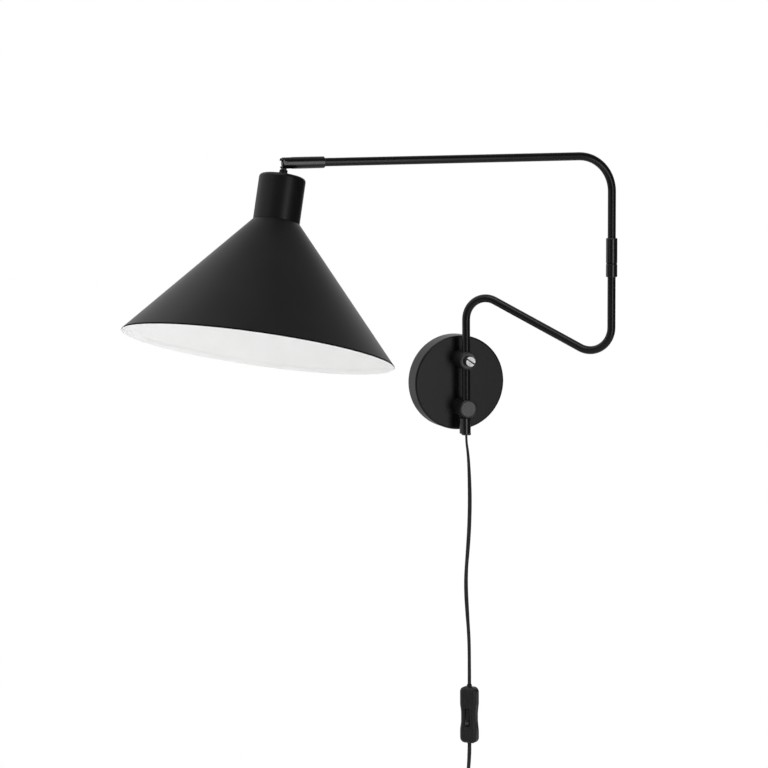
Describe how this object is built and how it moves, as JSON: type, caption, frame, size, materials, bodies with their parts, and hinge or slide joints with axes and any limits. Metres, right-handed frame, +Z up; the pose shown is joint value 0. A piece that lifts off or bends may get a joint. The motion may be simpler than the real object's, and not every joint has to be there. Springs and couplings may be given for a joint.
{
  "type": "swing arm wall lamp",
  "caption": "Black wall lamp: bent tube arms swing on upright pins from a round wall cover, a conical shade rolls and tilts at the tip, and a cord hangs with a switch.",
  "frame": {"origin": "middle of the round wall cover, on the wall", "axes": "+Y into the wall, +Z up, +X to the right seen from the room"},
  "size_m": [0.6336, 0.3958, 0.9422],
  "materials": {
    "black_paint": "satin black powder coat",
    "bright_steel": "bright turned steel",
    "plain_steel": "plain zinc-plated steel",
    "brass": "plain brass",
    "holder_black": "moulded black plastic",
    "switch_black": "fine-grained black plastic",
    "bush_black": "smooth black plastic",
    "cord_black": "smooth black cord sheath",
    "shade_paint": "satin black outside, white inside",
    "prong_metal": "plated pins"
  },
  "bodies": {
    "wall": {"wall_cover": "black_paint", "wall_bracket": "plain_steel", "cover_screw": "plain_steel", "post_upper": "black_paint", "post_lower": "black_paint", "post_screws": "plain_steel", "cord_upper": "cord_black", "cord_lower": "cord_black", "cord_coil": "cord_black", "cord_tail": "cord_black", "coil_tie": "bush_black", "switch_base": "switch_black", "switch_cover": "switch_black", "switch_screws": "plain_steel", "switch_glands": "switch_black", "plug_relief": "switch_black", "plug_body": "switch_black", "plug_pins": "prong_metal"},
    "clamp": {"clamp_screw": "bright_steel"},
    "lower": {"lower_arm": "black_paint", "foot_collar": "black_paint", "foot_grub": "plain_steel", "cord_bush": "bush_black", "mid_collar": "black_paint", "mid_pin": "plain_steel", "mid_washer": "plain_steel"},
    "upper": {"upper_arm": "black_paint", "mid_sleeve": "black_paint", "mid_grub": "plain_steel", "end_collar": "black_paint", "end_axle": "plain_steel"},
    "swivel": {"swivel_fork": "black_paint", "swivel_grub": "plain_steel", "hinge_pin": "plain_steel"},
    "shade": {"hinge_stub": "black_paint", "stub_nut": "plain_steel", "neck_cup": "black_paint", "lamp_holder": "holder_black", "holder_shell": "brass", "holder_contact": "brass", "shade_ring": "holder_black", "shade_cone": "shade_paint"},
    "rocker": {"switch_rocker": "switch_black"}
  },
  "joints": [
    {"name": "clamp_turn", "type": "hinge", "parent": "wall", "child": "clamp", "pos_m": [0, -0.06, 0.0305], "axis": [0, -1, 0], "range_deg": [0, 180]},
    {"name": "lower_arm_swing", "type": "hinge", "parent": "wall", "child": "lower", "pos_m": [0, -0.048, 0], "axis": [0, 0, 1], "range_deg": [-132.9, 47.1]},
    {"name": "upper_arm_swing", "type": "hinge", "parent": "lower", "child": "upper", "pos_m": [0.13506, -0.19334, 0.16], "axis": [0, 0, 1], "range_deg": [-32, 297]},
    {"name": "shade_roll", "type": "hinge", "parent": "upper", "child": "swivel", "pos_m": [-0.28691, -0.19886, 0.2918], "axis": [-0.9999, -0.0131, 0], "range_deg": [-69.9, 50.1]},
    {"name": "shade_tilt", "type": "hinge", "parent": "swivel", "child": "shade", "pos_m": [-0.28691, -0.19886, 0.2918], "axis": [-0.0129, 0.985, -0.1719], "range_deg": [-22.3, 62.7]},
    {"name": "switch_rock", "type": "hinge", "parent": "wall", "child": "rocker", "pos_m": [0.00037, -0.05103, -0.4279], "axis": [0.6724, -0.7402, 0], "range_deg": [0, 14]}
  ]
}
